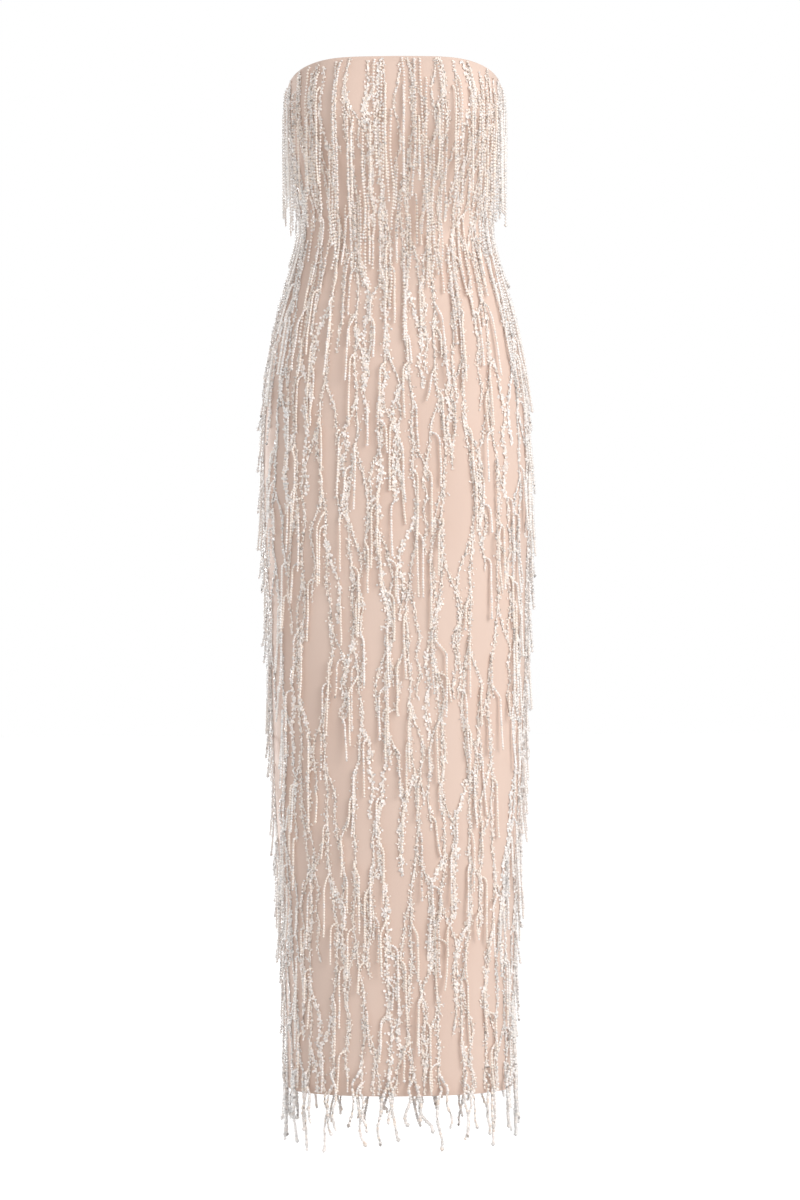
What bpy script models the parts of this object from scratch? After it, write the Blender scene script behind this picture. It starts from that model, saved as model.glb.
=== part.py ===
"""A strapless column gown in worn form, hollow inside, covered with hanging bead strands.

Metres, +Z up. The front faces -Y, and the wearer's left is at +X. The origin is the middle of the waist,
inside the hollow. A turn is an angle round the Z axis: 0 at centre front, +90 degrees at the wearer's left
side, 180 at centre back. A share is a height up the cloth: 0 at the hem and 1 at the top edge, wherever that
is at that turn.

The pieces are a front panel, two back panels, the tapes, slider and pull of the zip between them, and the
lines of beadwork. Each line of beadwork is a narrow ridge that wanders up the outside of the cloth, with its
bead strands hanging from it.
"""

import math
import random
from collections import namedtuple

import bmesh
import bpy
from mathutils import Matrix, Vector

MM = 0.001
QUARTER = math.pi / 2

# ---------------------------------------------------------------- sizes of the cloth
HEM = -1.123
TOP = 0.219
WALL = 1.5 * MM
SEAM_GAP = 0.42 * MM
ZIP_SLOT = 1.8 * MM
ZIP_FOOT = -0.200
CUP_TURN = math.radians(37)
CUP_SPREAD = math.radians(17)
SLOPE_STEP = 0.002

# The gown's sections, from the hem up: half its width, its depth in front of and behind the Z axis, how square
# its front and its back are (2 is an ellipse), and how far each cup stands out.
Section = namedtuple("Section", "z half_width front back front_square back_square cup")
SECTIONS = (
    Section(-1.140, 0.1465, 0.100, 0.101, 2.20, 2.2, 0.000),
    Section(-1.020, 0.1495, 0.101, 0.102, 2.20, 2.2, 0.000),
    Section(-0.900, 0.1535, 0.103, 0.104, 2.20, 2.2, 0.000),
    Section(-0.750, 0.1620, 0.105, 0.106, 2.20, 2.2, 0.000),
    Section(-0.600, 0.1665, 0.106, 0.109, 2.20, 2.2, 0.000),
    Section(-0.450, 0.1715, 0.108, 0.113, 2.20, 2.2, 0.000),
    Section(-0.360, 0.1755, 0.109, 0.119, 2.20, 2.2, 0.000),
    Section(-0.280, 0.1745, 0.109, 0.126, 2.20, 2.3, 0.000),
    Section(-0.210, 0.1695, 0.108, 0.128, 2.20, 2.3, 0.000),
    Section(-0.150, 0.1610, 0.105, 0.119, 2.20, 2.3, 0.000),
    Section(-0.095, 0.1495, 0.099, 0.104, 2.20, 2.2, 0.000),
    Section(-0.045, 0.1350, 0.092, 0.090, 2.20, 2.2, 0.000),
    Section(0.000, 0.1255, 0.088, 0.082, 2.20, 2.2, 0.000),
    Section(0.030, 0.1265, 0.091, 0.082, 2.20, 2.2, 0.000),
    Section(0.065, 0.1310, 0.099, 0.085, 2.25, 2.2, 0.002),
    Section(0.110, 0.1385, 0.115, 0.090, 2.40, 2.3, 0.008),
    Section(0.150, 0.1420, 0.122, 0.093, 2.50, 2.3, 0.011),
    Section(0.195, 0.1405, 0.117, 0.094, 2.50, 2.3, 0.008),
    Section(0.240, 0.1365, 0.106, 0.092, 2.45, 2.3, 0.004),
)

# How far the top edge lies below TOP, round half the gown from centre front to centre back.
Edge = namedtuple("Edge", "degrees drop")
TOP_EDGE = (
    Edge(0, 0.000),
    Edge(30, 0.001),
    Edge(45, 0.004),
    Edge(60, 0.011),
    Edge(75, 0.022),
    Edge(90, 0.034),
    Edge(120, 0.050),
    Edge(150, 0.055),
    Edge(180, 0.056),
)

# Heights at centre front of the panels' rows of points, closer together where the figure curves.
ROWS = (
    HEM, -0.990, -0.860, -0.730, -0.600, -0.470, -0.360, -0.270, -0.200, -0.140,
    -0.090, -0.045, 0.000, 0.040, 0.080, 0.115, 0.150, 0.185, TOP,
)
Panel = namedtuple("Panel", "name columns")
PANELS = (
    Panel("back_panel_right", 11),
    Panel("front_panel", 22),
    Panel("back_panel_left", 11),
)
# The columns of points are closest together at the sides, as on an ellipse of this width for its depth.
COLUMN_ASPECT = 1.5

# ---------------------------------------------------------------- sizes of the beadwork
LINES_IN_A_QUARTER = 6
SPACING_HEIGHT = -0.30
RIDGE_WIDTH = 6.4 * MM
RIDGE_HEIGHT = 2.3 * MM
RIDGE_LIFT = 0.5 * MM
EDGE_MARGIN = 4 * MM
LONG_STEP = 0.06
STRAND_LIFT = 5.4 * MM
STRAND_RADIUS = 1.6 * MM
ROOT_DROP = 1.5 * MM
SIDE_STEP = 22 * MM
ZIP_CLEAR = 10 * MM
PATH_STEP = 4 * MM
PATH_TOLERANCE = 1.1 * MM

# The strands of each line, from the top down: the share of the height at which each is rooted, its length, how
# far these two may vary, the place where it hangs across the line's own strip of cloth (-1 to 1), and how far
# its tip may stray across the strip and out from the cloth, or in if that is less than nothing.
Strand = namedtuple("Strand", "root length root_vary length_vary place stray splay")
STRANDS = (
    Strand(0.975, 0.124, 0.004, 0.016, -0.45, 0.05, -0.007),
    Strand(0.945, 0.094, 0.012, 0.012, 0.45, 0.05, -0.006),
    Strand(0.775, 0.098, 0.025, 0.018, -0.30, 0.15, 0.004),
    Strand(0.595, 0.088, 0.045, 0.016, 0.30, 0.15, 0.006),
    Strand(0.410, 0.088, 0.050, 0.016, -0.30, 0.15, 0.006),
    Strand(0.220, 0.088, 0.050, 0.016, 0.30, 0.15, 0.005),
    Strand(0.023, 0.072, 0.006, 0.018, -0.38, 0.22, 0.005),
    Strand(0.012, 0.066, 0.004, 0.022, 0.38, 0.22, 0.005),
)

# ---------------------------------------------------------------- sizes of the zip
TAPE_WIDTH = 12 * MM
TAPE_THICK = 0.8 * MM
TAPE_PAST_FOOT = 6 * MM
FIT = 0.3 * MM
SLIDER_HEIGHT = 0.146
SLIDER_BODY = Vector((5.0, 2.4, 8.0)) * MM
BLADE_THICK = 1.2 * MM
BLADE_HALF_HEIGHT = 2.6 * MM
BLADE_OUT = 2.0 * MM
WINDOW_HALF_HEIGHT = 1.5 * MM
WINDOW_HALF_DEPTH = 1.0 * MM
HINGE_OUT = 2.2 * MM
PULL_THICK = 0.9 * MM
PULL_NECK = 4.2 * MM
PULL_FOOT = 5.2 * MM
PULL_LENGTH = 19 * MM
PULL_HOLE_WIDTH = 2.6 * MM
PULL_HOLE_END = 3.4 * MM
ROUND_STEPS = 8


# ---------------------------------------------------------------- the form of the gown
def eased(rows, at):
    """The row at that place, on a smooth curve through the rows, whose first column is the place and rises."""
    last = len(rows) - 1
    i = min(max(sum(row[0] < at for row in rows) - 1, 0), last - 1)
    low, high = rows[i], rows[i + 1]
    before, after = rows[max(i - 1, 0)], rows[min(i + 2, last)]
    span = high[0] - low[0]
    t = min(max((at - low[0]) / span, 0.0), 1.0)
    values = []
    for a, b, c, d in zip(before, low, high, after):
        rise_in = (c - a) / (high[0] - before[0]) * span
        rise_out = (d - b) / (after[0] - low[0]) * span
        from_low = b * (1 + 2 * t) + rise_in * t
        from_high = c * (3 - 2 * t) - rise_out * (1 - t)
        values.append(from_low * (1 - t) ** 2 + from_high * t**2)
    return type(low)(*values)


def top_edge(turn):
    """The height of the top edge."""
    return TOP - eased(TOP_EDGE, abs(math.degrees(turn))).drop


def radius(turn, z):
    """How far the cloth's outer face is from the Z axis."""
    section = eased(SECTIONS, z)
    forward = math.cos(turn) >= 0
    depth = section.front if forward else section.back
    square = section.front_square if forward else section.back_square
    across = abs(math.sin(turn)) / section.half_width
    along = abs(math.cos(turn)) / depth
    cup = math.exp(-(((abs(turn) - CUP_TURN) / CUP_SPREAD) ** 2))
    return (across**square + along**square) ** (-1 / square) + section.cup * cup


def lifted_radius(turn, z, lift):
    """How far from the Z axis a point is that stands off the cloth by lift."""
    here = radius(turn, z)
    round_rise = radius(turn + SLOPE_STEP, z) - radius(turn - SLOPE_STEP, z)
    up_rise = radius(turn, z + SLOPE_STEP) - radius(turn, z - SLOPE_STEP)
    slopes = Vector((2 * SLOPE_STEP, round_rise / here, up_rise)) / (2 * SLOPE_STEP)
    return here + lift * slopes.length


def placed(turn, distance, z):
    return Vector((distance * math.sin(turn), -distance * math.cos(turn), z))


def height_of(turn, share):
    return HEM + share * (top_edge(turn) - HEM)


def share_of(turn, z):
    return (z - HEM) / (top_edge(turn) - HEM)


def on_form(turn, share):
    z = height_of(turn, share)
    return placed(turn, radius(turn, z), z)


def outward(turn, share):
    """The direction straight out of the cloth."""
    round_way = on_form(turn + SLOPE_STEP, share) - on_form(turn - SLOPE_STEP, share)
    up_way = on_form(turn, share + SLOPE_STEP) - on_form(turn, share - SLOPE_STEP)
    return round_way.cross(up_way).normalized()


# ---------------------------------------------------------------- the panels' own points
ROW_SHARES = [share_of(0, z) for z in ROWS]


def panel_ends(name, share):
    """The turns of a panel's two edges at that share of its height."""
    side_gap = SEAM_GAP / 2 / radius(QUARTER, height_of(QUARTER, share))
    if name == "front_panel":
        return -QUARTER + side_gap, QUARTER - side_gap
    z = height_of(math.pi, share)
    back_gap = ZIP_SLOT / 2 if z > ZIP_FOOT else SEAM_GAP / 2
    middle = math.pi - back_gap / radius(math.pi, z)
    if name == "back_panel_left":
        return QUARTER + side_gap, middle
    return -middle, -QUARTER - side_gap


def ellipse_angle(turn):
    """The angle that rises evenly from column to column."""
    return math.atan2(math.sin(turn) / COLUMN_ASPECT, math.cos(turn))


def column_angles(panel, share):
    start, end = (ellipse_angle(turn) for turn in panel_ends(panel.name, share))
    return start, (end - start) / panel.columns


def row_point(panel, share, column):
    start, step = column_angles(panel, share)
    angle = start + step * column
    return on_form(math.atan2(math.sin(angle) * COLUMN_ASPECT, math.cos(angle)), share)


def on_panel(turn, share):
    """The point on the panels' flat triangles, which lie a little inside the smooth form or outside it."""
    row = min(max(sum(s < share for s in ROW_SHARES) - 1, 0), len(ROW_SHARES) - 2)
    panel = next((p for p in PANELS if turn <= panel_ends(p.name, share)[1]), PANELS[-1])
    start, step = column_angles(panel, share)
    along = min(max((ellipse_angle(turn) - start) / step, 0.0), panel.columns)
    column = min(int(along), panel.columns - 1)
    along -= column
    low, high = ROW_SHARES[row], ROW_SHARES[row + 1]
    up = (share - low) / (high - low)
    first, far = row_point(panel, low, column), row_point(panel, high, column + 1)
    if up > along:
        above = row_point(panel, high, column)
        return first + (above - first) * up + (far - above) * along
    beside = row_point(panel, low, column + 1)
    return first + (beside - first) * along + (far - beside) * up


# ---------------------------------------------------------------- making objects
def clear_scene():
    for obj in list(bpy.data.objects):
        bpy.data.objects.remove(obj)


def new_collection(name):
    collection = bpy.data.collections.new(name)
    bpy.context.scene.collection.children.link(collection)
    return collection


def new_material(name, colour, roughness):
    material = bpy.data.materials.new(name)
    material.use_nodes = True
    shader = material.node_tree.nodes["Principled BSDF"]
    shader.inputs["Base Color"].default_value = (*colour, 1)
    shader.inputs["Roughness"].default_value = roughness
    shader.inputs["Metallic"].default_value = 0.0
    return material


def object_from(bm, name, collection, material):
    """Puts a bmesh in an object of its own, with its faces pointing out and shaded smooth."""
    mesh = bpy.data.meshes.new(name)
    bm.to_mesh(mesh)
    bm.free()
    mesh.shade_smooth()
    mesh.materials.append(material)
    obj = bpy.data.objects.new(name, mesh)
    collection.objects.link(obj)
    return obj


def lofted_sheet(name, rows, collection, material):
    """An open sheet of triangles through rows of points, from the lowest row up."""
    bm = bmesh.new()
    corners = [[bm.verts.new(point) for point in row] for row in rows]
    for lower, upper in zip(corners, corners[1:]):
        for i in range(len(lower) - 1):
            bm.faces.new((lower[i], lower[i + 1], upper[i + 1]))
            bm.faces.new((lower[i], upper[i + 1], upper[i]))
    return object_from(bm, name, collection, material)


def lofted_solid(name, rings, collection, material):
    """A closed solid through rings of points, with an end cap on the first and the last ring."""
    bm = bmesh.new()
    corners = [[bm.verts.new(point) for point in ring] for ring in rings]
    for lower, upper in zip(corners, corners[1:]):
        for i in range(len(lower)):
            k = (i + 1) % len(lower)
            bm.faces.new((lower[i], lower[k], upper[k], upper[i]))
    bm.faces.new(corners[0])
    bm.faces.new(corners[-1])
    bmesh.ops.recalc_face_normals(bm, faces=bm.faces)
    return object_from(bm, name, collection, material)


def thicken_inwards(obj, thickness):
    solidify = obj.modifiers.new("wall", "SOLIDIFY")
    solidify.thickness = thickness
    solidify.offset = -1
    solidify.use_even_offset = True


def new_curve(name, dimensions, collection, material=None):
    curve = bpy.data.curves.new(name, "CURVE")
    curve.dimensions = dimensions
    if material:
        curve.materials.append(material)
    obj = bpy.data.objects.new(name, curve)
    collection.objects.link(obj)
    return obj


def add_line(obj, points, closed=False):
    """Adds a spline of straight stretches to a curve object, and returns it."""
    spline = obj.data.splines.new("POLY")
    spline.points.add(len(points) - 1)
    spline.use_cyclic_u = closed
    for corner, point in zip(spline.points, points):
        corner.co = (*Vector(point).to_3d(), 1)
    return spline


def make_plate(name, outlines, thickness, collection, material):
    """A flat plate in the local XY plane, from its outline and those of its holes."""
    obj = new_curve(name, "2D", collection, material)
    obj.data.fill_mode = "BOTH"
    obj.data.extrude = thickness / 2
    for outline in outlines:
        add_line(obj, outline, closed=True)
    return obj


def as_mesh(obj, collection):
    """Makes a mesh object of a curve object, with its caps welded on and its faces pointing out."""
    bpy.context.view_layer.update()
    evaluated = obj.evaluated_get(bpy.context.evaluated_depsgraph_get())
    mesh = bpy.data.meshes.new_from_object(evaluated)
    bm = bmesh.new()
    bm.from_mesh(mesh)
    bmesh.ops.remove_doubles(bm, verts=bm.verts, dist=0.01 * MM)
    bmesh.ops.recalc_face_normals(bm, faces=bm.faces)
    bm.to_mesh(mesh)
    bm.free()
    name, place = obj.name, obj.matrix_world.copy()
    bpy.data.objects.remove(obj)
    made = bpy.data.objects.new(name, mesh)
    made.matrix_world = place
    collection.objects.link(made)
    return made


def join_with(obj, other):
    """Joins other to obj with a Boolean, and leaves other itself out of renders."""
    union = obj.modifiers.new("join", "BOOLEAN")
    union.operation = "UNION"
    union.object = other
    other.hide_render = True
    other.display_type = "WIRE"


# ---------------------------------------------------------------- cloth
def make_panels(collection, material):
    for panel in PANELS:
        rows = [[row_point(panel, share, i) for i in range(panel.columns + 1)] for share in ROW_SHARES]
        thicken_inwards(lofted_sheet(panel.name, rows, collection, material), WALL)


# ---------------------------------------------------------------- beadwork
def even_turns(start, end, count):
    """Turns from start to end that cut the gown's section at SPACING_HEIGHT into arcs of one length."""
    steps = 180
    turns = [start + (end - start) * i / steps for i in range(steps + 1)]
    points = [placed(turn, radius(turn, SPACING_HEIGHT), 0) for turn in turns]
    along = [0.0]
    for a, b in zip(points, points[1:]):
        along.append(along[-1] + (b - a).length)
    wanted = [along[-1] * i / count for i in range(count + 1)]
    return [turns[min(range(steps + 1), key=lambda k: abs(along[k] - length))] for length in wanted]


def line_strips():
    """(its middle's turn, half the turn it spans) for each line's own strip of cloth, from centre back round."""
    edges = even_turns(0, QUARTER, LINES_IN_A_QUARTER)
    edges += even_turns(QUARTER, math.pi, LINES_IN_A_QUARTER)[1:]
    left = [((a + b) / 2, (b - a) / 2) for a, b in zip(edges, edges[1:])]
    return [(-middle, half) for middle, half in reversed(left)] + left


def ridge_shares():
    """The panels' rows, with one halfway where they are far apart, and ends just inside the cloth's edges."""
    shares = []
    for low, high in zip(ROW_SHARES, ROW_SHARES[1:]):
        shares.append(low)
        if high - low > LONG_STEP:
            shares.append((low + high) / 2)
    margin = EDGE_MARGIN / (TOP - HEM)
    return [margin] + shares[1:] + [1 - margin]


RIDGE_SHARES = ridge_shares()


def thinned(points, within):
    """The points without those that lie within that distance of the straight line past them."""
    start, end = points[0], points[-1]
    along = (end - start).normalized()
    away = [((p - start) - along * (p - start).dot(along)).length for p in points]
    far = max(range(len(points)), key=lambda i: away[i])
    if away[far] < within:
        return [start, end]
    return thinned(points[: far + 1], within)[:-1] + thinned(points[far:], within)


class BeadLine:
    """One line of beadwork: a ridge that wanders up its strip of cloth, and the strands that hang from it."""

    def __init__(self, number, middle, half_turn):
        self.name = f"bead_line_{number:02d}"
        self.middle = middle
        self.half_turn = half_turn
        self.side = 1 if number % 2 else -1
        self.chance = random.Random(4100 + number)
        self.waves = [self.chance.uniform(0, 2 * math.pi) for _ in range(2)]
        self.turns = [self.turn_at(self.wander(height_of(middle, share))) for share in RIDGE_SHARES]

    def wander(self, z):
        """Where the ridge is across its strip, from -1 to 1: nearly straight on the bodice, wavy on the skirt."""
        width = 0.14 + 0.30 * min(max((0.02 - z) / 0.25, 0.0), 1.0)
        slow = math.sin(2 * math.pi * z / 0.43 + self.waves[0])
        quick = math.sin(2 * math.pi * z / 0.185 + self.waves[1])
        return width * (0.68 * slow + 0.32 * quick)

    def turn_at(self, place):
        return self.middle + place * self.half_turn

    def under_ridge(self, turn, share):
        """The cloth's points below the ridge's two edges and its middle."""
        half = RIDGE_WIDTH / 2 / radius(turn, height_of(turn, share))
        return [on_panel(turn + side * half, share) for side in (-1, 1, 0)]

    def lifts(self):
        """How far each ring is lifted, so that the ridge clears the folds of the cloth's triangles between rings."""
        stations = list(zip(self.turns, RIDGE_SHARES))
        lifts = [RIDGE_LIFT] * len(stations)
        for k, (low, high) in enumerate(zip(stations, stations[1:])):
            for t in (0.2, 0.35, 0.5, 0.65, 0.8):
                turn, share = (a + (b - a) * t for a, b in zip(low, high))
                out = outward(turn, share)
                for a, b, cloth in zip(*(self.under_ridge(*at) for at in (low, high, (turn, share)))):
                    clear = RIDGE_LIFT + (cloth - a.lerp(b, t)).dot(out)
                    lifts[k] = max(lifts[k], clear)
                    lifts[k + 1] = max(lifts[k + 1], clear)
        return lifts

    def rings(self):
        """Two points at the ridge's foot and one at its crest, for each share."""
        rings = []
        for turn, share, lift in zip(self.turns, RIDGE_SHARES, self.lifts()):
            out = outward(turn, share)
            right, left, middle = self.under_ridge(turn, share)
            rings.append([right + out * lift, left + out * lift, middle + out * (lift + RIDGE_HEIGHT)])
        return rings

    def root_at(self, rings, share):
        """(the point inside the ridge, its turn) at that share."""
        i = min(max(sum(s < share for s in RIDGE_SHARES) - 1, 0), len(RIDGE_SHARES) - 2)
        t = (share - RIDGE_SHARES[i]) / (RIDGE_SHARES[i + 1] - RIDGE_SHARES[i])
        middles = [sum(ring, Vector()) / len(ring) for ring in rings[i : i + 2]]
        return middles[0].lerp(middles[1], t), self.turns[i] + (self.turns[i + 1] - self.turns[i]) * t

    def strand_path(self, strand, rings):
        """The points of a strand: out of the ridge, aside, then down over the cloth or straight down past it."""
        share = strand.root + self.chance.uniform(-1, 1) * strand.root_vary
        length = strand.length + self.chance.uniform(-1, 1) * strand.length_vary
        stray = self.chance.uniform(-1, 1) * strand.stray
        splay = self.chance.uniform(0, 1) * strand.splay
        root, root_turn = self.root_at(rings, share)
        place = strand.place * self.side
        if (math.pi - abs(self.turn_at(place))) * radius(math.pi, 0) < ZIP_CLEAR:
            place = -place
        points = []
        distance = 0.0
        for i in range(round(length / PATH_STEP) + 1):
            fallen = ROOT_DROP + i * PATH_STEP
            z = root.z - fallen
            down = fallen / length
            aside = min(i * PATH_STEP / SIDE_STEP, 1.0)
            hang_turn = self.turn_at(place + stray * down**2)
            turn = root_turn + (hang_turn - root_turn) * aside
            distance = max(distance, lifted_radius(turn, max(z, HEM), STRAND_LIFT))
            points.append(placed(turn, distance + splay * down**2, z))
        return [root] + thinned(points, PATH_TOLERANCE)

    def build(self, profile, collection, helpers, material):
        rings = self.rings()
        ridge = lofted_solid(self.name, rings, collection, material)
        strands = new_curve(self.name + "_strands", "3D", helpers)
        strands.data.bevel_mode = "OBJECT"
        strands.data.bevel_object = profile
        strands.data.use_fill_caps = True
        for strand in STRANDS:
            spline = add_line(strands, self.strand_path(strand, rings))
            spline.points[0].radius = 0.7
            spline.points[-1].radius = 0.7
        join_with(ridge, as_mesh(strands, helpers))


def make_beadwork(collection, helpers, material):
    """All the lines of beadwork. Their strands are drawn with a three-sided section."""
    profile = new_curve("strand_profile", "2D", helpers)
    angles = [2 * math.pi * i / 3 for i in range(3)]
    add_line(profile, [(STRAND_RADIUS * math.cos(a), STRAND_RADIUS * math.sin(a)) for a in angles], closed=True)
    profile.hide_render = True
    profile.display_type = "WIRE"
    for i, (middle, half_turn) in enumerate(line_strips()):
        BeadLine(i + 1, middle, half_turn).build(profile, collection, helpers, material)


# ---------------------------------------------------------------- zip
def make_tape(name, side, collection, material):
    """One tape of the zip, behind a back panel's edge. side is 1 on the wearer's left."""
    foot, head = share_of(math.pi, ZIP_FOOT - TAPE_PAST_FOOT), 1 - EDGE_MARGIN / (TOP - HEM)
    shares = [foot] + [share for share in ROW_SHARES if foot < share < head] + [head]
    rows = []
    for share in shares:
        back = radius(math.pi, height_of(math.pi, share))
        turns = sorted(side * (math.pi - x / back) for x in (ZIP_SLOT / 2, ZIP_SLOT / 2 + TAPE_WIDTH))
        sink = outward(side * math.pi, share) * (WALL + FIT)
        rows.append([on_panel(turn, share) - sink for turn in turns])
    thicken_inwards(lofted_sheet(name, rows, collection, material), TAPE_THICK)


def half_round(half_height, out):
    """Points from the bottom of half an ellipse round its outer side to its top."""
    angles = [math.pi * i / ROUND_STEPS - QUARTER for i in range(ROUND_STEPS + 1)]
    return [(half_height * math.sin(a), out * math.cos(a)) for a in angles]


def slider_place():
    """The hinge of the pull: a frame with Y straight out of the cloth, at the slider's height."""
    share = share_of(math.pi, SLIDER_HEIGHT)
    out = outward(math.pi, share)
    hinge = on_form(math.pi, share) + out * HINGE_OUT
    return Matrix.Translation(hinge) @ Matrix.Rotation(math.atan2(out.z, out.y), 4, "X")


def make_slider(collection, helpers, material):
    """The slider: a body behind the tapes, and a blade that comes out through the slot with a window for the pull."""
    body_face = -(HINGE_OUT + WALL + FIT + TAPE_THICK + FIT)
    body_middle = body_face - SLIDER_BODY.y / 2
    outline = half_round(BLADE_HALF_HEIGHT, BLADE_OUT)
    outline += [(BLADE_HALF_HEIGHT, body_middle), (-BLADE_HALF_HEIGHT, body_middle)]
    tall, deep = WINDOW_HALF_HEIGHT, WINDOW_HALF_DEPTH
    window = [(-tall, -deep), (tall, -deep), (tall, deep), (-tall, deep)]
    blade = make_plate("zip_slider", [outline, window], BLADE_THICK, collection, material)
    # The outline's x runs up the gown, and its y runs out of the cloth.
    upright = Matrix(((0, 0, -1), (0, 1, 0), (1, 0, 0))).to_4x4()
    blade.matrix_world = slider_place() @ upright
    bm = bmesh.new()
    bmesh.ops.create_cube(bm, size=1, matrix=Matrix.Diagonal((*SLIDER_BODY, 1)))
    body = object_from(bm, "zip_slider_body", helpers, material)
    body.matrix_world = slider_place() @ Matrix.Translation((0, body_middle, 0))
    join_with(as_mesh(blade, collection), body)


def make_pull(collection, material):
    """The pull: a drop-shaped plate whose top bar lies in the slider's window. Its origin is on the hinge."""
    half = PULL_THICK / 2
    foot = PULL_FOOT / 2
    tip = [(x, foot - PULL_LENGTH - y) for x, y in half_round(foot, foot)]
    outline = [(PULL_NECK / 2, half), (-PULL_NECK / 2, half)] + tip
    side = PULL_HOLE_WIDTH / 2
    hole = [(side, -half), (-side, -half), (-side, -PULL_HOLE_END), (side, -PULL_HOLE_END)]
    pull = make_plate("zip_pull", [outline, hole], PULL_THICK, collection, material)
    pull.matrix_world = Matrix.Translation(slider_place().translation) @ Matrix.Rotation(QUARTER, 4, "X")
    as_mesh(pull, collection)


def main():
    clear_scene()
    gown = new_collection("column_gown")
    helpers = new_collection("helpers")
    satin = new_material("blush_satin", (0.80, 0.62, 0.52), 0.55)
    beads = new_material("silver_white_beads", (0.86, 0.83, 0.80), 0.25)
    tape_cloth = new_material("blush_tape", (0.76, 0.58, 0.48), 0.7)
    metal = new_material("blush_enamel", (0.78, 0.62, 0.54), 0.35)
    make_panels(gown, satin)
    make_beadwork(gown, helpers, beads)
    make_tape("zip_tape_left", 1, gown, tape_cloth)
    make_tape("zip_tape_right", -1, gown, tape_cloth)
    make_slider(gown, helpers, metal)
    make_pull(gown, metal)


main()
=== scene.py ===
"""The looks of a strapless column gown: satin cloth, wandering vines of beads, and hanging strands of beads.

Metres, +Z up. The front faces -Y, and the wearer's left is at +X. A turn is an angle round the Z axis: 0 at
centre front, +90 degrees at the wearer's left side, 180 at centre back. A share is a height up the cloth: 0
at the hem and 1 at the top edge, wherever that is at that turn. A place is a spot across a line of beadwork's
own strip of cloth, from -1 to 1. Most functions take and give arrays, one number or row for each point.
"""

import math
import random
from collections import namedtuple

import bpy
import numpy as np
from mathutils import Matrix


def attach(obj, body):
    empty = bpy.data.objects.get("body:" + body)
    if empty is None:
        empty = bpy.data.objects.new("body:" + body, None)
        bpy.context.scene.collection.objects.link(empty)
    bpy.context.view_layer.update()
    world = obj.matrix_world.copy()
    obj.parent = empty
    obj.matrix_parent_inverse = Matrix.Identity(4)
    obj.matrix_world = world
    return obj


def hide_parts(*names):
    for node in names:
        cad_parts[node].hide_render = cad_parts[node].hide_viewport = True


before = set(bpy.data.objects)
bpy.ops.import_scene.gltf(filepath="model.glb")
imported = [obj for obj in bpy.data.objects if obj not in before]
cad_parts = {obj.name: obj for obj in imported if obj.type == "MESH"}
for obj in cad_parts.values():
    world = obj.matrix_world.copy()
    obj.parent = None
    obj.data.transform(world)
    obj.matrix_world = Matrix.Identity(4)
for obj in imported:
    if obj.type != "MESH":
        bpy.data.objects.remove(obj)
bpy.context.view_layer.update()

MM = 0.001
QUARTER = math.pi / 2

# ---- the form of the gown, as the solids have it
HEM = -1.123
TOP = 0.219
ZIP_SLOT = 1.8 * MM
ZIP_FOOT = -0.200
CUP_TURN = math.radians(37)
CUP_SPREAD = math.radians(17)
TABLE_STEPS = 1400
SLOPE_STEP = 0.002

# Each section's height, half width, depths in front and behind, squareness there, and how far cups stand out.
SECTIONS = (
    (-1.140, 0.1465, 0.100, 0.101, 2.2, 2.2, 0.0),
    (-1.020, 0.1495, 0.101, 0.102, 2.2, 2.2, 0.0),
    (-0.900, 0.1535, 0.103, 0.104, 2.2, 2.2, 0.0),
    (-0.750, 0.1620, 0.105, 0.106, 2.2, 2.2, 0.0),
    (-0.600, 0.1665, 0.106, 0.109, 2.2, 2.2, 0.0),
    (-0.450, 0.1715, 0.108, 0.113, 2.2, 2.2, 0.0),
    (-0.360, 0.1755, 0.109, 0.119, 2.2, 2.2, 0.0),
    (-0.280, 0.1745, 0.109, 0.126, 2.2, 2.3, 0.0),
    (-0.210, 0.1695, 0.108, 0.128, 2.2, 2.3, 0.0),
    (-0.150, 0.1610, 0.105, 0.119, 2.2, 2.3, 0.0),
    (-0.095, 0.1495, 0.099, 0.104, 2.2, 2.2, 0.0),
    (-0.045, 0.1350, 0.092, 0.090, 2.2, 2.2, 0.0),
    (0.000, 0.1255, 0.088, 0.082, 2.2, 2.2, 0.0),
    (0.030, 0.1265, 0.091, 0.082, 2.2, 2.2, 0.0),
    (0.065, 0.1310, 0.099, 0.085, 2.25, 2.2, 0.002),
    (0.110, 0.1385, 0.115, 0.090, 2.4, 2.3, 0.008),
    (0.150, 0.1420, 0.122, 0.093, 2.5, 2.3, 0.011),
    (0.195, 0.1405, 0.117, 0.094, 2.5, 2.3, 0.008),
    (0.240, 0.1365, 0.106, 0.092, 2.45, 2.3, 0.004),
)
EDGE_ROWS = ((0, 0), (30, 1), (45, 4), (60, 11), (75, 22), (90, 34), (120, 50), (150, 55), (180, 56))
TOP_EDGE = [(degrees, drop * MM) for degrees, drop in EDGE_ROWS]

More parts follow.
